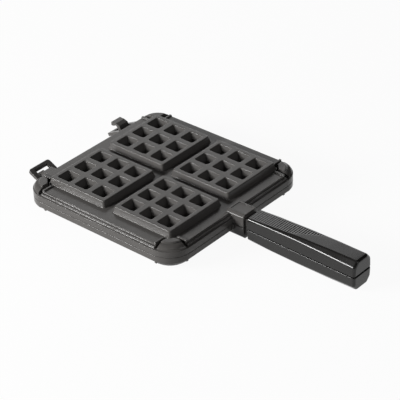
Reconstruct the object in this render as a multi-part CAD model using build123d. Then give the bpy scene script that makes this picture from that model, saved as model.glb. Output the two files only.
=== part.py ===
# Stovetop waffle iron: two identical cast-aluminium halves, hung on each other by hooks and
# loops, with a two-piece phenolic handle.  Millimetres, +Z up, handle along +X, hinge on -X.
# Each half is modelled above the parting plane, then the lower one is the same turned over.

import os

from build123d import *

# --- Driving dimensions ---------------------------------------------------------------------

half_height = 20.5        # parting plane to the tops of the waffle blocks
plate_half = 116.0        # half the width of the square plate
plate_radius = 29.5       # its corners
handle_reach = 286.0      # centre of the plate to the end of the handle
hinge_reach = 139.9       # centre of the plate to the outside of the hinge loops
wall = 2.8                # casting thickness
parting_gap = 0.15        # each half stands this far off the parting plane

# Rim: side wall, a ridge and the deck edge, stepping inwards
side_top = 7.6
ridge_half, ridge_top = 113.6, 10.0
deck_half, deck_top = 110.8, 12.3
gutter_half = 111.2       # overflow gutter between the rim and the waffle boxes
gutter_draft = 3.6        # it narrows by this towards the deck

# Waffle blocks: a 2 by 2 grid, each with 3 by 3 pegs that are hollow from outside
block_centre = 50.0
block_half = 42.2         # at the top
block_draft = 2.0         # wider by this at the deck
block_radius = 3.0
cavity_half_top, cavity_half_bottom = 39.6, 41.8
cavity_radius = 3.0
peg_pitch = 27.0
peg_base, peg_tip = 22.8, 15.2
peg_tip_height = 5.6      # tips stand this far off the parting plane
recess_open, recess_end = 19.4, 11.2
recess_corner = 1.2       # cut off each corner of its mouth
recess_floor = 8.3        # height of the recess floor

# Corner feet in notches of the rim
notch_start = 87.5        # the rim's upper steps end here, along each edge
lug_width = 3.0
lug_inner, lug_outer = 97.6, 111.2
lug_top = 14.0
foot_start = 91.5         # the feet begin here
foot_inner = 134.2        # along the diagonal, to the feet's inner faces
foot_sections = ((7.0, 115.8, 29.3), (10.0, 114.0, 26.0), (12.2, 111.0, 20.5), (13.6, 107.8, 18.0))
crest_half, crest_corner = 107.3, 19.0
foot_top = 15.6

# Hinge: a sloping loop on one side, a hook on the other
hinge_x = -137.4          # from the centre of the plate
loop_y, hook_y = 67.4, 65.9
loop_width, loop_arm = 33.0, 7.0
loop_slope = 26.0         # degrees
loop_thickness = 4.0
loop_tip_z = -6.2         # centre of the loop's round outer edge
loop_hole = (3.0, 18.0)   # both ends of its hole, in X from the hinge axis
hook_width = 11.6
hook_outline = (          # X and Z from the hinge axis, going out, down and back
    (23.0, 7.4), (13.6, 7.4), (9.6, 3.0), (8.6, -2.6), (5.4, -5.3), (1.6, -3.5), (-2.2, -2.9),
    (-2.2, -8.3), (5.6, -8.1), (11.0, -6.4), (13.6, -2.2), (15.8, 2.8), (23.0, 2.8),
)
hook_rounding = 1.0

# Collar, neck and tang
collar_start, collar_end = 106.0, 131.0
collar_half, collar_top = 13.0, 15.6
collar_chamfer = 3.0
collar_frame, collar_recess = 2.4, 0.6
neck_end, neck_half, neck_top = 136.0, 9.5, 11.0
tang_end, tang_half = 240.0, 7.0
tang_bottom, tang_top = 3.4, 7.0
tang_corner = 4.2
joint_depth = 1.0         # joined forms reach this far into each other

# Grips
grip_gap = 0.5            # each grip stands this far off the parting plane
grip_sections = (         # x, half width at the seam, ridge half width and height, crown half width and height
    (136.0, 12.9, 12.4, 12.9, 10.9, 14.3),
    (165.0, 13.5, 13.1, 14.6, 10.6, 16.0),
    (205.0, 14.3, 13.9, 14.6, 10.2, 18.0),
    (245.0, 15.1, 14.7, 13.5, 9.9, 18.8),
    (281.0, 15.8, 15.3, 12.4, 9.5, 18.7),
    (286.0, 15.7, 15.2, 12.0, 9.4, 16.8),
)
grip_end_radius = 2.0
rib_pitch, rib_groove, rib_depth = 3.1, 1.4, 0.8
rib_start = 139.0
rib_near = -13.0          # the ribs run over the grip's near edge
rib_margin = 1.6          # smooth strip left along the far edge
rib_shortest = 1.5
thumb_near, thumb_far = 188.0, 236.0    # the smooth thumb rest takes over between these

# Screws and the threaded inserts that hold the grips
screw_places = (162.0, 222.0)
screw_radius, head_radius, head_height = 2.0, 3.8, 2.3
head_chamfer = 0.6
slot_width, slot_depth = 1.0, 1.0
screw_end = 11.4
tang_hole_radius = 2.25
insert_radius, insert_end = 3.5, 12.2

plate_x = (hinge_reach - handle_reach) / 2   # puts the origin under the middle of the whole
base = (Align.CENTER, Align.CENTER, Align.MIN)


# --- Helpers --------------------------------------------------------------------------------

def slab(half, radius, bottom, top):
    """Square plate with rounded corners between two heights."""
    return extrude(Pos(0, 0, bottom) * RectangleRounded(2 * half, 2 * half, radius), top - bottom)


def tapered(low, high, bottom, top, centre=(0, 0)):
    """Square block between two heights, each end given as half width and corner radius."""
    ends = []
    for (half, radius), height in ((low, bottom), (high, top)):
        face = RectangleRounded(2 * half, 2 * half, radius) if radius else Rectangle(2 * half, 2 * half)
        ends.append(Pos(*centre, height) * face)
    return loft(ends, ruled=True)


def box_between(low, high):
    size = [b - a for a, b in zip(low, high)]
    return Pos(*low) * Box(*size, align=(Align.MIN, Align.MIN, Align.MIN))


def block_centres():
    return [(sx * block_centre, sy * block_centre) for sx in (-1, 1) for sy in (-1, 1)]


def peg_centres():
    steps = (-peg_pitch, 0, peg_pitch)
    return [(x + dx, y + dy) for x, y in block_centres() for dx in steps for dy in steps]


def four_corners(shape):
    """A shape made for the +X +Y corner, repeated at all four."""
    return [shape.rotate(Axis.Z, 90 * quarter) for quarter in range(4)]


# --- One half of the casting ----------------------------------------------------------------

def rim_and_deck():
    shape = slab(plate_half, plate_radius, parting_gap, side_top)
    upper_steps = slab(ridge_half, plate_radius - plate_half + ridge_half, side_top, ridge_top)
    upper_steps += slab(deck_half, plate_radius - plate_half + deck_half, ridge_top, deck_top)
    notch = box_between((notch_start, notch_start, side_top), (plate_half, plate_half, half_height))
    return shape + (upper_steps - four_corners(notch))


def rim_lugs():
    """Small upstands that close the ends of the rim beside each foot."""
    low, high = (notch_start - lug_width, lug_inner, side_top), (notch_start, lug_outer, lug_top)
    along_y = box_between(low, high)
    along_x = box_between((low[1], low[0], low[2]), (high[1], high[0], high[2]))
    return four_corners(along_x) + four_corners(along_y)


def corner_foot():
    """Rounded mound with a crest across the corner, cut off straight towards the waffle block."""
    levels = [Pos(0, 0, z) * RectangleRounded(2 * half, 2 * half, radius) for z, half, radius in foot_sections]
    foot = loft(levels, ruled=True) + slab(crest_half, crest_corner, foot_sections[0][0], foot_top)
    far = 2 * plate_half
    inner = foot_inner * 2 ** 0.5 - foot_start
    outline = Polyline((foot_start, inner), (foot_start, far), (far, far), (far, foot_start), (inner, foot_start),
                       close=True)
    return foot & extrude(make_face(outline), half_height)


def waffle_blocks():
    low, high = (block_half + block_draft, block_radius), (block_half, block_radius)
    return [tapered(low, high, deck_top, half_height, centre) for centre in block_centres()]


def box_walls():
    """Walls below the deck that carry each waffle box down to the parting plane."""
    size = 2 * (cavity_half_bottom + wall)
    face = RectangleRounded(size, size, cavity_radius + wall)
    return [extrude(Pos(*centre, parting_gap) * face, deck_top - parting_gap) for centre in block_centres()]


def cavities():
    low, high = (cavity_half_bottom, cavity_radius), (cavity_half_top, cavity_radius)
    return [tapered(low, high, 0, half_height - wall, centre) for centre in block_centres()]


def pegs():
    peg = tapered((peg_tip / 2, 0), (peg_base / 2, 0), peg_tip_height, half_height - wall)
    return [Pos(*centre) * peg for centre in peg_centres()]


def recesses():
    """Hollows of the pegs, with their corners cut off."""
    corner_share = recess_corner / recess_open
    ends = []
    for width, height in ((recess_end, recess_floor), (recess_open, half_height)):
        face = Rectangle(width, width)
        ends.append(Pos(0, 0, height) * chamfer(face.vertices(), width * corner_share))
    recess = loft(ends, ruled=True)
    return [Pos(*centre) * recess for centre in peg_centres()]


def hinge_hook():
    outline = [(hinge_x + x, 0, z) for x, z in hook_outline]
    face = make_face(Polyline(*outline, close=True))
    root = hinge_x + hook_outline[0][0]
    face = fillet(face.vertices().filter_by(lambda v: v.X < root - hook_rounding), hook_rounding)
    return Pos(0, -hook_y, 0) * extrude(face, hook_width / 2, both=True)


def hinge_loop():
    """Flap that slopes down across the parting plane, with a hole for the other half's hook."""
    along_slope = (Align.MIN, Align.CENTER, Align.CENTER)
    flap = Rot(0, -loop_slope, 0) * Box(2 * loop_width, loop_width, loop_thickness, align=along_slope)
    flap += Rot(90, 0, 0) * Cylinder(loop_thickness / 2, loop_width)
    flap = Pos(loop_thickness / 2 - hinge_reach, loop_y, loop_tip_z) * flap
    flap &= box_between((-hinge_reach, 0, -half_height), (wall / 2 - plate_half, plate_half, half_height))
    half_hole = loop_width / 2 - loop_arm
    hole = box_between((hinge_x + loop_hole[0], loop_y - half_hole, -half_height),
                       (hinge_x + loop_hole[1], loop_y + half_hole, half_height))
    return flap - hole


def collar_and_tang():
    collar = box_between((collar_start, -collar_half, parting_gap), (collar_end, collar_half, collar_top))
    top_edges = collar.faces().sort_by(Axis.Z)[-1].edges()
    collar = chamfer(top_edges.filter_by(Axis.X), collar_chamfer)
    half = collar_half - collar_chamfer - collar_frame
    collar -= box_between((collar_start + collar_frame, -half, collar_top - collar_recess),
                          (collar_end - collar_frame, half, collar_top))
    neck = box_between((collar_end - joint_depth, -neck_half, parting_gap), (neck_end, neck_half, neck_top))
    tang = box_between((collar_end, -tang_half, tang_bottom), (tang_end, tang_half, tang_top))
    tang = fillet(tang.edges().filter_by(Axis.Z).group_by(Axis.X)[-1], tang_corner)
    tang -= [Pos(x, 0, tang_bottom) * Cylinder(tang_hole_radius, 20) for x in screw_places]
    return collar + neck + tang


def plate():
    shape = rim_and_deck() + rim_lugs() + four_corners(corner_foot()) + waffle_blocks()
    shape += collar_and_tang()
    low = (gutter_half, plate_radius - plate_half + gutter_half)
    high = (gutter_half - gutter_draft, plate_radius - plate_half + gutter_half - gutter_draft)
    corner = notch_start - lug_width - wall
    gutter = tapered(low, high, 0, deck_top - wall)
    gutter -= four_corners(box_between((corner, corner, side_top - wall), (plate_half, plate_half, half_height)))
    shape -= gutter
    shape += box_walls()
    shape -= cavities()
    shape += pegs()
    shape -= recesses()
    return shape + hinge_hook() + hinge_loop()


# --- One half of the handle -----------------------------------------------------------------

def grip_section(x, seam_half, ridge_half, ridge_z, crown_half, crown_z):
    right = ((seam_half, grip_gap), (ridge_half, ridge_z), (crown_half, crown_z))
    left = tuple((-y, z) for y, z in reversed(right))
    return make_face(Polyline(*[(x, y, z) for y, z in right + left], close=True))


def crown_height(x):
    """Height of the grip's top at x, from straight lines between the sections."""
    for low, high in zip(grip_sections, grip_sections[1:]):
        if low[0] <= x <= high[0]:
            return low[5] + (high[5] - low[5]) * (x - low[0]) / (high[0] - low[0])


def rib_grooves():
    """Grooves that leave cross ribs, up to the S-shaped edge of the thumb rest."""
    reach = grip_sections[1][4] - rib_margin
    grooves = []
    for step in range(int((thumb_far - rib_start) / rib_pitch)):
        x = rib_start + step * rib_pitch
        t = max(0.0, (x - thumb_near) / (thumb_far - thumb_near))
        edge = rib_near + (reach - rib_near) * t * t * (3 - 2 * t)
        if edge > reach - rib_shortest:
            break
        floor = crown_height(x) - rib_depth
        grooves.append(box_between((x, edge, floor), (x + rib_groove, reach, half_height)))
    return grooves


def grip():
    shape = loft([grip_section(*section) for section in grip_sections], ruled=True)
    end_edges = shape.faces().sort_by(Axis.X)[-1].edges()
    shape = fillet(end_edges.filter_by(lambda e: e.center().Z > grip_gap + joint_depth), grip_end_radius)
    shape -= box_between((neck_end - joint_depth, -tang_half, 0), (tang_end, tang_half, tang_top))
    shape -= [Pos(x, 0, tang_top) * Cylinder(insert_radius, insert_end - tang_top, align=base) for x in screw_places]
    return shape - rib_grooves()


def grip_inserts():
    ring = Cylinder(insert_radius, insert_end - tang_top, align=base)
    ring -= Cylinder(screw_radius, half_height, align=base)
    return [Pos(x, 0, tang_top) * ring for x in screw_places]


def grip_screws():
    head = Cylinder(head_radius, head_height, align=base)
    head = chamfer(head.edges().sort_by(Axis.Z)[0], head_chamfer)
    head -= Pos(0, 0, slot_depth / 2) * Box(3 * head_radius, slot_width, slot_depth)
    shank = Pos(0, 0, head_height) * Cylinder(screw_radius, screw_end - tang_bottom, align=base)
    screw = head + shank
    return [Pos(x, 0, tang_bottom - head_height) * screw for x in screw_places]


# --- Both halves ----------------------------------------------------------------------------

half_pieces = {
    "plate": plate(),
    "grip": grip(),
    "grip_inserts": Compound(children=grip_inserts()),
    "grip_screws": Compound(children=grip_screws()),
}

os.makedirs("parts", exist_ok=True)
for name, piece in half_pieces.items():
    upper = Pos(plate_x, 0, half_height) * piece
    lower = Pos(plate_x, 0, half_height) * piece.rotate(Axis.X, 180)
    export_step(upper, f"parts/upper_{name}.step")
    export_step(lower, f"parts/lower_{name}.step")
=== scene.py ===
from math import atan2, cos, pi, radians, sin

import bmesh
import bpy
from mathutils import Matrix, Vector
from mathutils.bvhtree import BVHTree
from mathutils.geometry import intersect_point_line


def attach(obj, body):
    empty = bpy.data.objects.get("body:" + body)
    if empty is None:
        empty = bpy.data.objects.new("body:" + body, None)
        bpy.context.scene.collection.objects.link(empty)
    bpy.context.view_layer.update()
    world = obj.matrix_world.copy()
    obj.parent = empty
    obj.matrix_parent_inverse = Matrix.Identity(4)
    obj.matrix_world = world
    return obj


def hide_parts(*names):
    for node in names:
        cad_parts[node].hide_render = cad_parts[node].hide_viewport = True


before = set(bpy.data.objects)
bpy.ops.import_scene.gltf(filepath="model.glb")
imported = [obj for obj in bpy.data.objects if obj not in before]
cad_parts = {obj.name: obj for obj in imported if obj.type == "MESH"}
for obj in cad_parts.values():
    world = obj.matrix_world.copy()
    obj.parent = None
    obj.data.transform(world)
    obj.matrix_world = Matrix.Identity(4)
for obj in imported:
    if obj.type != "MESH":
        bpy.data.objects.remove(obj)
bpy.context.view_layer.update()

mm = 0.001
plateCentre = Vector((-73.05, 0, 20.5)) * mm     # middle of the plates, on the parting plane
upperPlace = Matrix.Translation(plateCentre)
lowerPlace = upperPlace @ Matrix.Rotation(pi, 4, "X")
halves = {"upper": upperPlace, "lower": lowerPlace}


# shared mesh helpers, all in a half's own frame: millimetres, z = 0 at the parting plane

def roundedRing(half, radius, z, cornerSteps, sideSteps):
    # points of a rounded square, counter-clockwise
    points = []
    for quarter in range(4):
        turn = Matrix.Rotation(quarter * pi / 2, 2)
        inner = half - radius
        for i in range(cornerSteps + 1):
            a = i / cornerSteps * pi / 2
            points.append(turn @ Vector((inner + radius * cos(a), inner + radius * sin(a))))
        for i in range(1, sideSteps):
            points.append(turn @ Vector((inner - 2 * inner * i / sideSteps, half)))
    return [(p.x, p.y, z) for p in points]


def softCorners(profile, steps=4):
    # polyline of (half, z, ring radius, rounding) with each corner rounded
    rounded = []
    for i, (half, z, ring, rounding) in enumerate(profile):
        if not rounding or i in (0, len(profile) - 1):
            rounded.append((half, z, ring))
            continue
        here = Vector((half, z, ring))
        before = Vector(profile[i - 1][:3]) - here
        after = Vector(profile[i + 1][:3]) - here
        start = here + before * (rounding / before.xy.length)
        end = here + after * (rounding / after.xy.length)
        for k in range(steps + 1):
            t = k / steps
            rounded.append(tuple(start * (1 - t) ** 2 + here * (2 * t * (1 - t)) + end * t ** 2))
    return rounded


def bridgeRings(bm, rings):
    # quads between rings of equal length; returns the vertices
    rows = [[bm.verts.new(p) for p in ring] for ring in rings]
    for a, b in zip(rows, rows[1:]):
        for i in range(len(a)):
            j = (i + 1) % len(a)
            bm.faces.new((a[i], a[j], b[j], b[i]))
    return rows


def meshObject(name, bm):
    mesh = bpy.data.meshes.new(name)
    bm.to_mesh(mesh)
    bm.free()
    thing = bpy.data.objects.new(name, mesh)
    bpy.context.scene.collection.objects.link(thing)
    return thing


def shadeSmooth(mesh, angle):
    mesh.shade_smooth()
    mesh.set_sharp_from_angle(angle=radians(angle))


def softNormals(thing, weight=60):
    weighted = thing.modifiers.new("weightedNormal", "WEIGHTED_NORMAL")
    weighted.keep_sharp = True
    weighted.weight = weight


def weldShut(bm, distance=0.001):
    bmesh.ops.remove_doubles(bm, verts=bm.verts, dist=distance)
    bmesh.ops.recalc_face_normals(bm, faces=bm.faces)


# node tree helpers

class Tree:
    def __init__(self, tree):
        self.tree = tree

    def add(self, kind, settings=None, **inputs):
        node = self.tree.nodes.new(kind)
        for key, value in (settings or {}).items():
            setattr(node, key, value)
        for key, value in inputs.items():
            self.feed(node, key, value)
        return node

    def feed(self, node, key, value):
        socket = node.inputs[int(key[1:])] if key[0] == "i" and key[1:].isdigit() else node.inputs[key]
        if isinstance(value, bpy.types.NodeSocket):
            self.tree.links.new(value, socket)
        else:
            socket.default_value = value


def bakeHost(name, host):
    # the mesh that an object's modifiers make; the object goes
    bpy.context.view_layer.update()
    mesh = bpy.data.meshes.new_from_object(host.evaluated_get(bpy.context.evaluated_depsgraph_get()))
    mesh.name = name
    while None in mesh.materials[:]:
        mesh.materials.pop(index=mesh.materials[:].index(None))
    bpy.data.objects.remove(host)
    return mesh


def geometryTree(name, inputs):
    tree = bpy.data.node_groups.new(name, "GeometryNodeTree")
    tree.interface.new_socket("Geometry", in_out="INPUT", socket_type="NodeSocketGeometry")
    for label, kind in inputs:
        tree.interface.new_socket(label, in_out="INPUT", socket_type=kind)
    tree.interface.new_socket("Geometry", in_out="OUTPUT", socket_type="NodeSocketGeometry")
    return Tree(tree), tree.nodes.new("NodeGroupInput"), tree.nodes.new("NodeGroupOutput")


def bakeTree(name, tree, values, seed=None):
    # runs a geometry tree once and returns the plain mesh
    host = bpy.data.objects.new(name, seed or bpy.data.meshes.new(name))
    bpy.context.scene.collection.objects.link(host)
    modifier = host.modifiers.new(name, "NODES")
    modifier.node_group = tree.tree
    sockets = {s.name: s.identifier for s in tree.tree.interface.items_tree if s.in_out == "INPUT"}
    for label, value in values.items():
        modifier[sockets[label]] = value
    return bakeHost(name, host)


def placeHalf(name, mesh, half, stands):
    # one half's piece, put in place through its mesh
    own = mesh.copy()
    own.transform(halves[half])
    thing = bpy.data.objects.new(name, own)
    bpy.context.scene.collection.objects.link(thing)
    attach(thing, f"{half}_half")
    if stands:
        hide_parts(*stands)
    return thing


# waffle grid: 2 x 2 boxes of 3 x 3 hollow pegs in each half

waffle = {
    "boxes": 2, "boxPitch": 100.0, "cells": 3, "cellPitch": 27.0, "cornerSteps": 3, "boxCornerSteps": 5,
    "topZ": 20.5, "topHalf": 42.2, "topRounding": 1.0,
    "deckZ": 12.3, "footHalf": 44.2, "footFillet": 0.7, "footCorner": 3.0,
    "skirt": 0.1, "skirtRise": 0.03,     # the foot of a box runs this far over and above the deck
    "boxHalf": 44.6, "boxCorner": 5.8, "boxWallTop": 10.3, "lipZ": 0.15, "lipRounding": 0.5,
    "mouthHalf": 41.8, "mouthCorner": 3.0, "floorHalf": 39.6, "floorZ": 17.7,
    "recessHalf": 9.7, "recessCorner": 2.2, "recessRounding": 0.7,
    "recessEndHalf": 5.6, "recessEndZ": 8.3, "recessEndCorner": 1.32, "recessEndRounding": 0.9,
    "pegHalf": 11.4, "pegCorner": 1.6, "pegFillet": 1.0,
    "pegTipHalf": 7.6, "pegTipZ": 5.6, "pegTipCorner": 1.2, "pegTipRounding": 0.8,
    "weldDistance": 0.005, "smoothAngle": 45,
}


def pocketCell(w):
    # outside of one peg: the recess and the web round it, facing up
    half = w["cellPitch"] / 2
    profile = [
        (half, w["topZ"], 0, 0),
        (w["recessHalf"], w["topZ"], w["recessCorner"], w["recessRounding"]),
        (w["recessEndHalf"], w["recessEndZ"], w["recessEndCorner"], w["recessEndRounding"]),
        (w["recessEndHalf"] / 2, w["recessEndZ"], w["recessEndCorner"] / 2, 0),
    ]
    bm = bmesh.new()
    rings = [roundedRing(h, r, z, w["cornerSteps"], 1) for h, z, r in softCorners(profile)]
    bm.faces.new(bridgeRings(bm, rings)[-1])
    return meshObject("pocketCell", bm)


def pegCell(w):
    # cooking side of one peg, facing down
    half = w["cellPitch"] / 2
    profile = [
        (w["pegTipHalf"] / 2, w["pegTipZ"], w["pegTipCorner"] / 2, 0),
        (w["pegTipHalf"], w["pegTipZ"], w["pegTipCorner"], w["pegTipRounding"]),
        (w["pegHalf"], w["floorZ"], w["pegCorner"], w["pegFillet"]),
        (half, w["floorZ"], 0, 0),
    ]
    bm = bmesh.new()
    rings = [roundedRing(h, r, z, w["cornerSteps"], 1) for h, z, r in softCorners(profile)]
    bm.faces.new(bridgeRings(bm, rings)[0][::-1])
    return meshObject("pegCell", bm)


def boxShell(w):
    # walls of one waffle box, from its floor down the inside, up the outside and in over the top
    field = w["cells"] / 2 * w["cellPitch"]
    steps, sides = w["boxCornerSteps"], w["cells"]
    skirtHalf, skirtCorner = w["footHalf"] + w["footFillet"] + w["skirt"], w["footCorner"] + w["footFillet"]
    over = w["deckZ"] + w["skirtRise"]
    profile = [
        (w["floorHalf"], w["floorZ"], 0, 0),
        (w["mouthHalf"], w["lipZ"], w["mouthCorner"], w["lipRounding"]),
        (w["boxHalf"], w["lipZ"], w["boxCorner"], w["lipRounding"]),
        (w["boxHalf"], w["boxWallTop"], w["boxCorner"], 0),
        (skirtHalf, w["deckZ"] - w["skirt"], skirtCorner, 0),
        (skirtHalf, over, skirtCorner, 0),
        (w["footHalf"], over, w["footCorner"], w["footFillet"]),
        (w["topHalf"], w["topZ"], w["footCorner"], w["topRounding"]),
    ]
    rounded = softCorners(profile + [(field, w["topZ"], 0, 0)])
    rings = [roundedRing(h, r, z, steps, sides) for h, z, r in rounded[1:]]
    reach = w["floorHalf"]
    floor = [(max(-reach, min(reach, x)), max(-reach, min(reach, y)), z)
             for x, y, z in roundedRing(field, 0, w["floorZ"], steps, sides)]
    bm = bmesh.new()
    bridgeRings(bm, [floor] + rings)
    return meshObject("boxShell", bm)


def waffleTree():
    inputs = [(label, "NodeSocketObject") for label in ("Box Walls", "Pocket", "Peg")]
    inputs += [(label, "NodeSocketInt") for label in ("Boxes", "Cells")]
    inputs += [(label, "NodeSocketFloat") for label in (
        "Box Pitch", "Cell Pitch", "Floor Reach", "Weld Distance")]
    t, given, result = geometryTree("waffleGridTree", inputs + [("Material", "NodeSocketMaterial")])
    get = given.outputs

    def squareGrid(count, pitch):
        gaps = t.add("ShaderNodeMath", {"operation": "SUBTRACT"}, i0=get[count], i1=1.0)
        span = t.add("ShaderNodeMath", {"operation": "MULTIPLY"}, i0=get[pitch], i1=gaps.outputs[0])
        return t.add("GeometryNodeMeshGrid", None, i0=span.outputs[0], i1=span.outputs[0],
                     i2=get[count], i3=get[count])

    cellGrid, boxGrid = squareGrid("Cells", "Cell Pitch"), squareGrid("Boxes", "Box Pitch")
    sheets = {}
    for label in ("Pocket", "Peg"):
        info = t.add("GeometryNodeObjectInfo", None, Object=get[label])
        spread = t.add("GeometryNodeInstanceOnPoints", None, Points=cellGrid.outputs["Mesh"],
                       Instance=info.outputs["Geometry"])
        real = t.add("GeometryNodeRealizeInstances", None, Geometry=spread.outputs["Instances"])
        sheets[label] = real.outputs["Geometry"]
    # the peg sheet is trimmed to the box's floor
    place = t.add("GeometryNodeInputPosition")
    low = t.add("ShaderNodeMath", {"operation": "MULTIPLY"}, i0=get["Floor Reach"], i1=-1.0)
    parts = t.add("ShaderNodeSeparateXYZ", None, i0=place.outputs[0])
    joined = t.add("ShaderNodeCombineXYZ", None, Z=parts.outputs["Z"])
    for axis in "XY":
        trim = t.add("ShaderNodeClamp", None, Value=parts.outputs[axis], Min=low.outputs[0],
                     Max=get["Floor Reach"])
        t.feed(joined, axis, trim.outputs[0])
    trimmed = t.add("GeometryNodeSetPosition", None, Geometry=sheets["Peg"], Position=joined.outputs[0])
    walls = t.add("GeometryNodeObjectInfo", None, Object=get["Box Walls"])
    box = t.add("GeometryNodeJoinGeometry")
    for source in (sheets["Pocket"], trimmed.outputs[0], walls.outputs["Geometry"]):
        t.tree.links.new(source, box.inputs[0])
    boxes = t.add("GeometryNodeInstanceOnPoints", None, Points=boxGrid.outputs["Mesh"],
                  Instance=box.outputs[0])
    real = t.add("GeometryNodeRealizeInstances", None, Geometry=boxes.outputs["Instances"])
    welded = t.add("GeometryNodeMergeByDistance", None, Geometry=real.outputs[0],
                   Distance=get["Weld Distance"])
    coated = t.add("GeometryNodeSetMaterial", None, Geometry=welded.outputs[0], Material=get["Material"])
    t.tree.links.new(coated.outputs[0], result.inputs[0])
    return t


# castings: rim, deck, feet, hinge and collar, with every edge rounded

casting = {
    "weldDistance": 0.002, "flatAngle": 1, "smoothAngle": 50,
    "boxSlack": 0.05, "deckSlack": 0.1,                         # for finding the faces of the waffle boxes
    "edgeAngle": 32, "edgeRounding": 0.55, "roundingSteps": 3,
    "narrowShare": 0.45, "widestRoom": 6.0, "sharpTurn": 0.3,   # roundings are held back on narrow faces
    "strayLimit": 0.5,
    "collarRounding": 1.9, "collarStart": 104.0, "collarCut": 117.0, "collarSide": 12.9, "collarEdge": 15.0,
    "footRounding": 1.3, "footStart": 91.0, "footCrest": 14.0,
    "hingeRounding": 1.2, "hingeEnd": -118.0,
    "loopBead": (-137.8, 0.0, -6.13), "beadRadius": 2.1, "loopTilt": 26.0,
    "loopY": 67.4, "loopHalfWidth": 16.5, "loopCorner": 5.0, "loopCornerSteps": 6, "roundingEnd": 0.55,
    "cutterReach": 6.0, "cutterMargin": 1.0,
    "hookStart": -114.0, "hookSide": -71.7, "hookSlack": 0.05, "hookExtra": 3.6,
}


def loopOut(c):
    return Vector((-cos(radians(c["loopTilt"])), 0, -sin(radians(c["loopTilt"]))))


def loopCutter(c):
    # two prisms square to the tilted loop, which leave it with round outer corners
    out, along = loopOut(c), Vector((0, 1, 0))
    up = out.cross(along)
    margin = c["cutterMargin"]
    bm = bmesh.new()
    for side in (-1, 1):
        corner = Vector((c["beadRadius"], c["loopY"] + side * c["loopHalfWidth"]))
        centre = corner + Vector((-c["loopCorner"], -side * c["loopCorner"]))
        outline = [corner + Vector((1, side)) * margin, Vector((corner.x + margin, centre.y))]
        for k in range(c["loopCornerSteps"] + 1):
            a = k / c["loopCornerSteps"] * pi / 2
            outline.append(centre + Vector((cos(a), side * sin(a))) * c["loopCorner"])
        outline.append(Vector((centre.x, corner.y + side * margin)))
        rows = [[bm.verts.new(Vector(c["loopBead"]) + out * p.x + along * p.y + up * h) for p in outline]
                for h in (-c["cutterReach"], c["cutterReach"])]
        bm.faces.new(rows[0])
        bm.faces.new(rows[1][::-1])
        for i in range(len(outline)):
            j = (i + 1) % len(outline)
            bm.faces.new((rows[0][i], rows[1][i], rows[1][j], rows[0][j]))
    bmesh.ops.recalc_face_normals(bm, faces=bm.faces)
    return meshObject("loopCutter", bm)


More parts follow.
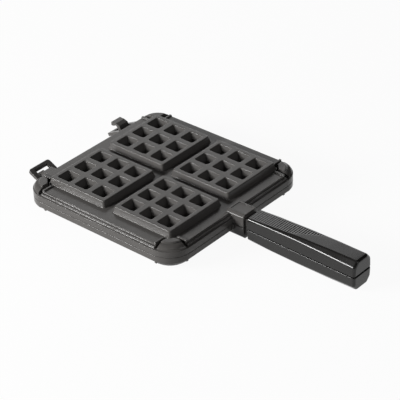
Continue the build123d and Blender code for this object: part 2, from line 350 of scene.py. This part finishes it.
def castingMesh(c, w):
    bm = bmesh.new()
    bm.from_mesh(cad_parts["upper_plate"].data)
    bmesh.ops.transform(bm, matrix=Matrix.Scale(1 / mm, 4) @ upperPlace.inverted(), verts=bm.verts)
    bmesh.ops.remove_doubles(bm, verts=bm.verts, dist=c["weldDistance"])
    for v in bm.verts:
        if v.co.x < c["hookStart"] and abs(v.co.y - c["hookSide"]) < c["hookSlack"]:
            v.co.y -= c["hookExtra"]    # the hook fills its loop's width
    host, cutter = meshObject("castingHost", bm), loopCutter(c)
    trim = host.modifiers.new("loopCorners", "BOOLEAN")
    trim.operation, trim.solver, trim.object = "DIFFERENCE", "EXACT", cutter
    trimmed = bakeHost("trimmedCasting", host)
    bpy.data.objects.remove(cutter)

    bm = bmesh.new()
    bm.from_mesh(trimmed)
    bmesh.ops.remove_doubles(bm, verts=bm.verts, dist=c["weldDistance"])
    surface = BVHTree.FromBMesh(bm)
    centres = [(sx * w["boxPitch"] / 2, sy * w["boxPitch"] / 2) for sx in (-1, 1) for sy in (-1, 1)]

    def inBox(point, x, y):
        onDeck = point.z > w["deckZ"] - c["deckSlack"]
        reach, corner = (w["footHalf"], w["footCorner"]) if onDeck else (w["boxHalf"], w["boxCorner"])
        straight = reach - corner
        past = Vector((max(0, abs(point.x - x) - straight), max(0, abs(point.y - y) - straight)))
        return past.length < corner + c["boxSlack"]

    gone = [f for f in bm.faces if any(all(inBox(v.co, x, y) for v in f.verts) for x, y in centres)]
    bmesh.ops.delete(bm, geom=gone, context="FACES")
    # cuts through the box openings keep each flat face free of holes while it is joined up
    across, along = Vector((1, 0, 0)), Vector((0, 1, 0))
    places = [(axis, share * w["boxPitch"]) for axis in (across, along) for share in (-0.5, 0, 0.5)]
    for axis, place in places + [(across, c["collarCut"])]:
        cut = bmesh.ops.bisect_plane(bm, geom=bm.verts[:] + bm.edges[:] + bm.faces[:],
                                     dist=c["weldDistance"], plane_co=axis * place, plane_no=axis)
        for part in cut["geom_cut"]:
            if isinstance(part, bmesh.types.BMEdge):
                part.seam = True
    bmesh.ops.dissolve_limit(bm, angle_limit=radians(c["flatAngle"]), verts=bm.verts, edges=bm.edges,
                             delimit={"SEAM"})
    bmesh.ops.recalc_face_normals(bm, faces=bm.faces)

    def gapTo(point, edge):
        start, end = (v.co for v in edge.verts)
        share = intersect_point_line(point, start, end)[1]
        return (point - start.lerp(end, min(1.0, max(0.0, share)))).length

    def room(face, edge):
        # how far a face goes on from one of its edges before it meets another
        middle = (edge.verts[0].co + edge.verts[1].co) / 2
        line = (edge.verts[1].co - edge.verts[0].co).normalized()
        gaps = [c["widestRoom"]]
        for other in face.edges:
            shared = [v for v in other.verts if v in edge.verts]
            if other == edge:
                continue
            if shared:
                across = (other.verts[1].co - other.verts[0].co).cross(line).length
                if across > c["sharpTurn"] * other.calc_length():
                    gaps.append(across)
                continue
            gaps += [gapTo(p, other) for p in (middle, edge.verts[0].co, edge.verts[1].co)]
            gaps += [gapTo(v.co, edge) for v in other.verts]
        return min(gaps)

    def wayRound(point):
        # 0 beside the loop, 1 at the end of its round corner, where the bead leaves no edge to round
        past = (point - Vector(c["loopBead"])).dot(loopOut(c)) - c["beadRadius"] + c["loopCorner"]
        aside = abs(point.y - c["loopY"]) - c["loopHalfWidth"] + c["loopCorner"]
        return atan2(past, aside) / (pi / 2) if min(past, aside) > 0 else 0

    def rounding(edge):
        middle = (edge.verts[0].co + edge.verts[1].co) / 2
        if middle.x < c["hingeEnd"]:
            return c["hingeRounding"] * max(0, 1 - wayRound(middle) / c["roundingEnd"])
        if middle.x > c["collarStart"] and c["collarSide"] < abs(middle.y) < c["collarEdge"]:
            return c["collarRounding"]
        if min(abs(middle.x), abs(middle.y)) > c["footStart"] and middle.z > c["footCrest"]:
            return c["footRounding"]
        return c["edgeRounding"]

    # each sharp outer edge is rounded, and less beside a narrow face
    widest = max(c["edgeRounding"], c["collarRounding"], c["footRounding"], c["hingeRounding"])
    weight = bm.edges.layers.float.new("bevel_weight_edge")
    sharp = radians(c["edgeAngle"])
    for edge in bm.edges:
        if len(edge.link_faces) == 2 and edge.is_convex and edge.calc_face_angle(0) > sharp:
            narrowest = min(room(face, edge) for face in edge.link_faces)
            edge[weight] = min(rounding(edge), narrowest * c["narrowShare"]) / widest
    host = meshObject("castingHost", bm)
    bevel = host.modifiers.new("edges", "BEVEL")
    bevel.limit_method, bevel.width, bevel.segments = "WEIGHT", widest, c["roundingSteps"]
    bevel.use_clamp_overlap, bevel.miter_outer = False, "MITER_ARC"
    rounded = bakeHost("casting", host)
    for v in rounded.vertices:
        nearest, _, _, distance = surface.find_nearest(v.co)
        if distance > c["strayLimit"]:
            v.co = nearest    # a corner that the rounding threw out goes back to the casting's surface
    return rounded


# grips: a lofted half handle with a slot for the tang and cross ribs

grip = {
    "stations": (   # x, seam half width, ridge half width and height, crown half width and height
        (136.0, 12.9, 12.4, 12.9, 10.9, 14.3), (165.0, 13.5, 13.1, 14.6, 10.6, 16.0),
        (205.0, 14.3, 13.9, 14.6, 10.2, 18.0), (245.0, 15.1, 14.7, 13.5, 9.9, 18.8),
        (281.0, 15.8, 15.3, 12.4, 9.5, 18.7), (286.0, 15.75, 15.25, 12.2, 9.45, 18.6)),
    "seamZ": 0.5, "slotHalf": 7.0, "slotTop": 7.0, "slotEnd": 240.0,
    "seamRounding": 0.9, "ridgeRounding": 1.7, "crownRounding": 1.3, "roundingSteps": 4,
    "crownColumns": 30, "coarseStep": 3.0, "fineStep": 0.25, "ribZone": (137.0, 238.0),
    "startRounding": 0.8, "startSteps": 3, "endRounding": 3.2, "endSteps": 8,
    "crownInset": 0.8, "ridgeDrop": 0.7, "seamRise": 0.35,   # shares of the rounding at the grip's ends
    "ribStart": 137.6, "ribPitch": 3.1, "ribDepth": 0.36, "ribRoundness": 2.0,
    "thumbNear": 188.0, "thumbFar": 236.0, "ribNearSide": -9.5, "ribFarSide": 9.0, "sideEdge": 0.5,
    "crownFloor": 13.2, "smoothAngle": 40,
}


def between(table, x):
    for low, high in zip(table, table[1:]):
        if x <= high[0] or high is table[-1]:
            t = min(1.0, (x - low[0]) / (high[0] - low[0]))
            return [a + (b - a) * t for a, b in zip(low[1:], high[1:])]


def gripStations(g):
    first, last = g["stations"][0][0], g["stations"][-1][0]
    places = [first + g["startRounding"] * (1 - cos(k / g["startSteps"] * pi / 2))
              for k in range(g["startSteps"] + 1)]
    x = places[-1] + g["fineStep"]
    while x < last - g["endRounding"]:
        places.append(x)
        x += g["fineStep"] if g["ribZone"][0] < x < g["ribZone"][1] else g["coarseStep"]
    return places


def gripSection(g, x, inset, slotTop):
    seam, ridge, ridgeZ, crown, crownZ = between(g["stations"], x)
    seam, ridge, crown = seam - inset, ridge - inset, crown - inset * g["crownInset"]
    ridgeZ, crownZ = ridgeZ - inset * g["ridgeDrop"], crownZ - inset
    bottom = g["seamZ"] + inset * g["seamRise"]
    path = [Vector(p) for p in ((g["slotHalf"], bottom), (seam, bottom), (ridge, ridgeZ), (crown, crownZ),
                                (-crown, crownZ))]
    roundings = (g["seamRounding"], g["ridgeRounding"], g["crownRounding"])
    right = []
    for before, here, after, rounding in zip(path, path[1:], path[2:], roundings):
        start = here + (before - here).normalized() * rounding
        end = here + (after - here).normalized() * rounding
        for k in range(g["roundingSteps"] + 1):
            t = k / g["roundingSteps"]
            right.append(start * (1 - t) ** 2 + here * (2 * t * (1 - t)) + end * t ** 2)
    crownEdge = right[-1].x
    crownRow = [Vector((crownEdge - 2 * crownEdge * k / g["crownColumns"], crownZ))
                for k in range(1, g["crownColumns"])]
    left = [Vector((-p.x, p.y)) for p in reversed(right)]
    slot = [Vector((-g["slotHalf"], bottom)), Vector((-g["slotHalf"], slotTop)),
            Vector((g["slotHalf"], slotTop)), Vector((g["slotHalf"], bottom))]
    return [(x, p.x, p.y) for p in right + crownRow + left + slot]


def gripBody(g):
    last = g["stations"][-1][0]
    places = gripStations(g)
    rings = []
    slotDone = False
    for x in places:
        inset = max(0.0, g["startRounding"] - (x - places[0]))
        inset = g["startRounding"] - (g["startRounding"] ** 2 - inset ** 2) ** 0.5
        if x > g["slotEnd"] and not slotDone:
            rings.append(gripSection(g, g["slotEnd"], 0, g["slotTop"]))
            rings.append(gripSection(g, g["slotEnd"], 0, g["seamZ"]))
            slotDone = True
        rings.append(gripSection(g, x, inset, g["seamZ"] if slotDone else g["slotTop"]))
    for k in range(g["endSteps"] + 1):
        a = k / g["endSteps"] * pi / 2
        x = last - g["endRounding"] * (1 - sin(a))
        inset = g["endRounding"] * (1 - cos(a))
        rings.append(gripSection(g, x, inset, g["seamZ"] + inset * g["seamRise"]))
    bm = bmesh.new()
    rows = bridgeRings(bm, rings)
    bm.faces.new(rows[0][::-1])
    bm.faces.new(rows[-1])
    weldShut(bm)
    mesh = bpy.data.meshes.new("gripBody")
    bm.to_mesh(mesh)
    bm.free()
    return mesh


def ribTree():
    inputs = [(label, "NodeSocketFloat") for label in (
        "Rib Start", "Rib Pitch", "Rib Depth", "Rib Roundness", "Thumb Near", "Thumb Far",
        "Near Side", "Far Side", "Side Edge", "Crown Floor")]
    t, given, result = geometryTree("gripRibTree", inputs + [("Material", "NodeSocketMaterial")])
    get = given.outputs

    def math(operation, a, b=None, c=None):
        node = t.add("ShaderNodeMath", {"operation": operation}, i0=a)
        if b is not None:
            t.feed(node, "i1", b)
        if c is not None:
            t.feed(node, "i2", c)
        return node.outputs[0]

    def smooth(value, low, high, toLow=0.0, toHigh=1.0):
        node = t.add("ShaderNodeMapRange", {"interpolation_type": "SMOOTHSTEP"}, i0=value, i1=low, i2=high,
                     i3=toLow, i4=toHigh)
        return node.outputs[0]

    place = t.add("GeometryNodeInputPosition")
    at = t.add("ShaderNodeSeparateXYZ", None, i0=place.outputs[0]).outputs
    along = math("SUBTRACT", at["X"], get["Rib Start"])
    cycle = math("WRAP", along, get["Rib Pitch"], 0.0)
    # 0 on the top of each rib, 1 in the groove on either side of it
    offTop = math("ABSOLUTE", math("MULTIPLY_ADD", math("DIVIDE", cycle, get["Rib Pitch"]), 2.0, -1.0))
    groove = math("POWER", offTop, get["Rib Roundness"])
    # the thumb rest's edge crosses the grip on an S curve
    edge = smooth(at["X"], get["Thumb Near"], get["Thumb Far"], get["Near Side"], get["Far Side"])
    past = smooth(math("SUBTRACT", at["Y"], edge), 0.0, get["Side Edge"])
    far = smooth(math("SUBTRACT", get["Far Side"], at["Y"]), 0.0, get["Side Edge"])
    begun = math("GREATER_THAN", along, 0.0)
    onCrown = math("GREATER_THAN", at["Z"], get["Crown Floor"])
    within = math("MULTIPLY", math("MULTIPLY", far, begun), onCrown)
    share = math("MULTIPLY", math("MULTIPLY", groove, past), within)
    drop = math("MULTIPLY", math("MULTIPLY", share, get["Rib Depth"]), -1.0)
    offset = t.add("ShaderNodeCombineXYZ", None, Z=drop)
    cut = t.add("GeometryNodeSetPosition", None, Geometry=get["Geometry"], Offset=offset.outputs[0])
    real = t.add("GeometryNodeRealizeInstances", None, Geometry=cut.outputs[0])
    finished = t.add("GeometryNodeSetMaterial", None, Geometry=real.outputs[0], Material=get["Material"])
    t.tree.links.new(finished.outputs[0], result.inputs[0])
    return t


# grip screws: slotted cheese heads, two in each grip

screws = {
    "places": (162.0, 222.0), "headTop": 1.1, "headBase": 3.4, "headRadius": 3.8, "headRounding": 0.6,
    "shankRadius": 2.0, "shankEnd": 11.4, "steps": 32, "roundingSteps": 4,
    "slotWidth": 1.0, "slotDepth": 1.0, "bladeLength": 20.0, "firstTurn": 25, "turnStep": 110,
    "smoothAngle": 30,
}


def screwBody(s):
    profile = [(0.0, s["headTop"])]
    for k in range(s["roundingSteps"] + 1):
        a = k / s["roundingSteps"] * pi / 2
        profile.append((s["headRadius"] - s["headRounding"] * (1 - sin(a)),
                        s["headTop"] + s["headRounding"] * (1 - cos(a))))
    profile += [(s["headRadius"], s["headBase"]), (s["shankRadius"], s["headBase"]),
                (s["shankRadius"], s["shankEnd"]), (0.0, s["shankEnd"])]
    bm = bmesh.new()
    turns = [2 * pi * i / s["steps"] for i in range(s["steps"])]
    rings = [[(r * cos(a), r * sin(a), z) for a in turns] for r, z in profile]
    bridgeRings(bm, rings)
    weldShut(bm)
    return meshObject("screwBody", bm)


def screwTree():
    inputs = [("Screw", "NodeSocketObject"), ("Count", "NodeSocketInt")]
    inputs += [(label, "NodeSocketFloat") for label in (
        "First X", "Spacing", "Slot Width", "Slot Depth", "Blade Length", "Head Top",
        "First Turn", "Turn Step")]
    t, given, result = geometryTree("gripScrewTree", inputs + [("Material", "NodeSocketMaterial")])
    get = given.outputs
    body = t.add("GeometryNodeObjectInfo", None, Object=get["Screw"])
    size = t.add("ShaderNodeCombineXYZ", None, X=get["Blade Length"], Y=get["Slot Width"])
    deep = t.add("ShaderNodeMath", {"operation": "MULTIPLY"}, i0=get["Slot Depth"], i1=2.0)
    t.feed(size, "Z", deep.outputs[0])
    blade = t.add("GeometryNodeMeshCube", None, Size=size.outputs[0])
    lift = t.add("ShaderNodeCombineXYZ", None, Z=get["Head Top"])
    placed = t.add("GeometryNodeTransform", None, Geometry=blade.outputs["Mesh"],
                   Translation=lift.outputs[0])
    slotted = t.add("GeometryNodeMeshBoolean", {"operation": "DIFFERENCE"})
    t.tree.links.new(body.outputs["Geometry"], slotted.inputs[0])
    t.tree.links.new(placed.outputs[0], slotted.inputs[1])
    start = t.add("ShaderNodeCombineXYZ", None, X=get["First X"])
    gap = t.add("ShaderNodeCombineXYZ", None, X=get["Spacing"])
    line = t.add("GeometryNodeMeshLine", None, Count=get["Count"])
    t.feed(line, "Start Location", start.outputs[0])
    t.feed(line, "Offset", gap.outputs[0])
    index = t.add("GeometryNodeInputIndex")
    turn = t.add("ShaderNodeMath", {"operation": "MULTIPLY_ADD"}, i0=index.outputs[0], i1=get["Turn Step"],
                 i2=get["First Turn"])
    angle = t.add("ShaderNodeCombineXYZ", None, Z=turn.outputs[0])
    spread = t.add("GeometryNodeInstanceOnPoints", None, Points=line.outputs["Mesh"],
                   Instance=slotted.outputs["Mesh"], Rotation=angle.outputs[0])
    real = t.add("GeometryNodeRealizeInstances", None, Geometry=spread.outputs["Instances"])
    finished = t.add("GeometryNodeSetMaterial", None, Geometry=real.outputs[0], Material=get["Material"])
    t.tree.links.new(finished.outputs[0], result.inputs[0])
    return t


# finishes

coating = {
    "dark": (0.060, 0.0570, 0.0545, 1), "light": (0.076, 0.0722, 0.0690, 1), "toneScale": 30,
    "roughness": (0.15, 0.23), "smudgeScale": 110,
    "grainScale": 1400, "grainBump": 0.10, "grainDepth": 0.0003,
    "specular": 0.2,
}
phenolic = {
    "dark": (0.0090, 0.0086, 0.0082, 1), "light": (0.0140, 0.0134, 0.0128, 1), "toneScale": 45,
    "roughness": (0.16, 0.24), "smudgeScale": 60,
    "grainScale": 500, "grainBump": 0.03, "grainDepth": 0.0003,
    "specular": 0.36,
}
steel = {
    "dark": (0.42, 0.42, 0.43, 1), "light": (0.58, 0.58, 0.59, 1), "toneScale": 300,
    "roughness": (0.25, 0.42), "smudgeScale": 500,
    "grainScale": 4000, "grainBump": 0.10, "grainDepth": 0.0001,
    "metallic": 1.0,
}
brass = {
    "dark": (0.56, 0.42, 0.19, 1), "light": (0.72, 0.56, 0.28, 1), "toneScale": 300,
    "roughness": (0.28, 0.45), "smudgeScale": 500,
    "grainScale": 4000, "grainBump": 0.10, "grainDepth": 0.0001,
    "metallic": 1.0,
}

noise = {"toneDetail": 4.0, "smudgeDetail": 3.0, "smudgeSpread": (0.3, 0.7), "grainDetail": 2.0}


def finish(name, look):
    material = bpy.data.materials.new(name)
    material.use_nodes = True
    t = Tree(material.node_tree)
    shader = material.node_tree.nodes["Principled BSDF"]
    at = t.add("ShaderNodeTexCoord").outputs["Object"]

    def patches(scale, detail):
        made = t.add("ShaderNodeTexNoise", None, Vector=at, Scale=look[scale], Detail=noise[detail])
        return made.outputs[0]

    colour = t.add("ShaderNodeMix", {"data_type": "RGBA"}, i0=patches("toneScale", "toneDetail"),
                   i6=look["dark"], i7=look["light"])
    t.feed(shader, "Base Color", colour.outputs[2])
    rough = t.add("ShaderNodeMapRange", None, i0=patches("smudgeScale", "smudgeDetail"),
                  i1=noise["smudgeSpread"][0], i2=noise["smudgeSpread"][1],
                  i3=look["roughness"][0], i4=look["roughness"][1])
    t.feed(shader, "Roughness", rough.outputs[0])
    bump = t.add("ShaderNodeBump", None, Height=patches("grainScale", "grainDetail"),
                 Strength=look["grainBump"], Distance=look["grainDepth"])
    t.feed(shader, "Normal", bump.outputs[0])
    shader.inputs["Specular IOR Level"].default_value = look.get("specular", 0.5)
    shader.inputs["Metallic"].default_value = look.get("metallic", 0.0)
    return material


coatingMaterial = finish("nonStickCoating", coating)
phenolicMaterial = finish("blackPhenolic", phenolic)
steelMaterial = finish("screwSteel", steel)
brassMaterial = finish("insertBrass", brass)


# the pieces of one half, then both halves

templates = {"Box Walls": boxShell(waffle), "Pocket": pocketCell(waffle), "Peg": pegCell(waffle)}
gridMesh = bakeTree("waffleGrid", waffleTree(), {
    **templates, "Boxes": waffle["boxes"], "Box Pitch": waffle["boxPitch"],
    "Cells": waffle["cells"], "Cell Pitch": waffle["cellPitch"], "Floor Reach": waffle["floorHalf"],
    "Weld Distance": waffle["weldDistance"], "Material": coatingMaterial})
print("waffle grid:", len(gridMesh.polygons), "faces")

castingBase = castingMesh(casting, waffle)
castingBase.materials.append(coatingMaterial)
print("casting:", len(castingBase.polygons), "faces")

gripMesh = bakeTree("grip", ribTree(), {
    "Rib Start": grip["ribStart"], "Rib Pitch": grip["ribPitch"], "Rib Depth": grip["ribDepth"],
    "Rib Roundness": grip["ribRoundness"], "Thumb Near": grip["thumbNear"],
    "Thumb Far": grip["thumbFar"], "Near Side": grip["ribNearSide"], "Far Side": grip["ribFarSide"],
    "Side Edge": grip["sideEdge"], "Crown Floor": grip["crownFloor"],
    "Material": phenolicMaterial}, seed=gripBody(grip))
print("grip:", len(gripMesh.polygons), "faces")

screwTemplate = screwBody(screws)
screwMesh = bakeTree("gripScrews", screwTree(), {
    "Screw": screwTemplate, "Count": len(screws["places"]),
    "First X": screws["places"][0], "Spacing": screws["places"][1] - screws["places"][0],
    "Slot Width": screws["slotWidth"], "Slot Depth": screws["slotDepth"],
    "Blade Length": screws["bladeLength"], "Head Top": screws["headTop"],
    "First Turn": radians(screws["firstTurn"]), "Turn Step": radians(screws["turnStep"]),
    "Material": steelMaterial})
print("screws:", len(screwMesh.polygons), "faces")
for template in [*templates.values(), screwTemplate]:
    bpy.data.objects.remove(template)

for mesh, sizes in ((gridMesh, waffle), (castingBase, casting), (gripMesh, grip), (screwMesh, screws)):
    shadeSmooth(mesh, sizes["smoothAngle"])
    mesh.transform(Matrix.Scale(mm, 4))

for half in halves:
    grid = placeHalf(f"{half}WaffleGrid", gridMesh, half, [])
    body = placeHalf(f"{half}Casting", castingBase, half, [f"{half}_plate"])
    handle = placeHalf(f"{half}Grip", gripMesh, half, [f"{half}_grip"])
    fixings = placeHalf(f"{half}GripScrews", screwMesh, half, [f"{half}_grip_screws"])
    for piece in (grid, body, handle):
        softNormals(piece)
    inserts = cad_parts[f"{half}_grip_inserts"]
    inserts.data.materials.clear()
    inserts.data.materials.append(brassMaterial)
print("both halves placed")


# floor, light and camera

studio = {
    "floorSize": 12.0, "floorColour": (0.70, 0.70, 0.70, 1), "floorGlow": 0.94,
    "worldColour": (1, 1, 1, 1), "worldStrength": 0.03,
    "lamps": (   # name, place, width, height, watts
        ("keyLamp", (-1.00, -1.54, 0.66), 1.1, 0.5, 72),
        ("backLamp", (-1.24, 1.28, 0.92), 1.4, 1.0, 6.2),
        ("lowBackLamp", (-1.26, 1.40, 0.46), 1.4, 0.45, 4.4),
        ("footLamp", (0.82, -0.67, 1.62), 0.35, 0.35, 1.6),
        ("sideLamp", (1.66, 0.29, 0.98), 0.8, 0.45, 5)),
}

floorMesh = bpy.data.meshes.new("floor")
bm = bmesh.new()
bmesh.ops.create_grid(bm, x_segments=1, y_segments=1, size=studio["floorSize"] / 2)
bm.to_mesh(floorMesh)
bm.free()
floor = bpy.data.objects.new("floor", floorMesh)
bpy.context.scene.collection.objects.link(floor)

# the camera and mirror-like surfaces see the floor almost white, and it still takes a shadow
floorMaterial = bpy.data.materials.new("paleFloor")
floorMaterial.use_nodes = True
t = Tree(floorMaterial.node_tree)
t.tree.nodes.clear()
path = t.add("ShaderNodeLightPath")
seen = t.add("ShaderNodeMath", {"operation": "MAXIMUM"}, i0=path.outputs["Is Camera Ray"],
             i1=path.outputs["Is Glossy Ray"])
share = t.add("ShaderNodeMath", {"operation": "MULTIPLY"}, i0=seen.outputs[0], i1=studio["floorGlow"])
matt = t.add("ShaderNodeBsdfDiffuse", None, Color=studio["floorColour"])
glow = t.add("ShaderNodeEmission", None, Color=(1, 1, 1, 1), Strength=1.0)
blend = t.add("ShaderNodeMixShader", None, i0=share.outputs[0], i1=matt.outputs[0], i2=glow.outputs[0])
t.add("ShaderNodeOutputMaterial", None, Surface=blend.outputs[0])
floorMesh.materials.append(floorMaterial)

world = bpy.data.worlds.new("studio")
bpy.context.scene.world = world
world.use_nodes = True
t = Tree(world.node_tree)
t.tree.nodes.clear()
path = t.add("ShaderNodeLightPath")
seen = t.add("ShaderNodeMath", {"operation": "MAXIMUM"}, i0=path.outputs["Is Camera Ray"],
             i1=path.outputs["Is Transmission Ray"])
dim = t.add("ShaderNodeBackground", None, Color=studio["worldColour"], Strength=studio["worldStrength"])
white = t.add("ShaderNodeBackground", None, Color=(1, 1, 1, 1), Strength=1.0)
blend = t.add("ShaderNodeMixShader", None, i0=seen.outputs[0], i1=dim.outputs[0], i2=white.outputs[0])
t.add("ShaderNodeOutputWorld", None, Surface=blend.outputs[0])

for name, place, width, height, watts in studio["lamps"]:
    lamp = bpy.data.lights.new(name, "AREA")
    lamp.shape, lamp.size, lamp.size_y, lamp.energy = "RECTANGLE", width, height, watts
    holder = bpy.data.objects.new(name, lamp)
    holder.location = place
    holder.rotation_euler = Vector(place).to_track_quat("Z", "Y").to_euler()
    bpy.context.scene.collection.objects.link(holder)

cameraSet = {
    "place": (1.06541, -1.22120, 1.06818), "azimuth": 41.556, "elevation": 32.675, "roll": -1.859,
    "lens": 151.87, "sensor": 36.0, "clip": (0.05, 50),
}
a, e, r = (radians(cameraSet[k]) for k in ("azimuth", "elevation", "roll"))
back = Vector((sin(a) * cos(e), -cos(a) * cos(e), sin(e)))
right = (-back).cross(Vector((0, 0, 1))).normalized()
up = right.cross(-back)
axes = (right * cos(r) + up * sin(r), up * cos(r) - right * sin(r), back)
camera = bpy.data.objects.new("camera", bpy.data.cameras.new("camera"))
camera.data.lens = cameraSet["lens"]
camera.data.sensor_width = cameraSet["sensor"]
camera.data.clip_start, camera.data.clip_end = cameraSet["clip"]
camera.matrix_world = Matrix.Translation(cameraSet["place"]) @ Matrix(axes).transposed().to_4x4()
bpy.context.scene.collection.objects.link(camera)
bpy.context.scene.camera = camera

scene = bpy.context.scene
scene.view_settings.view_transform = "Standard"
print("floor, lamps and camera placed")
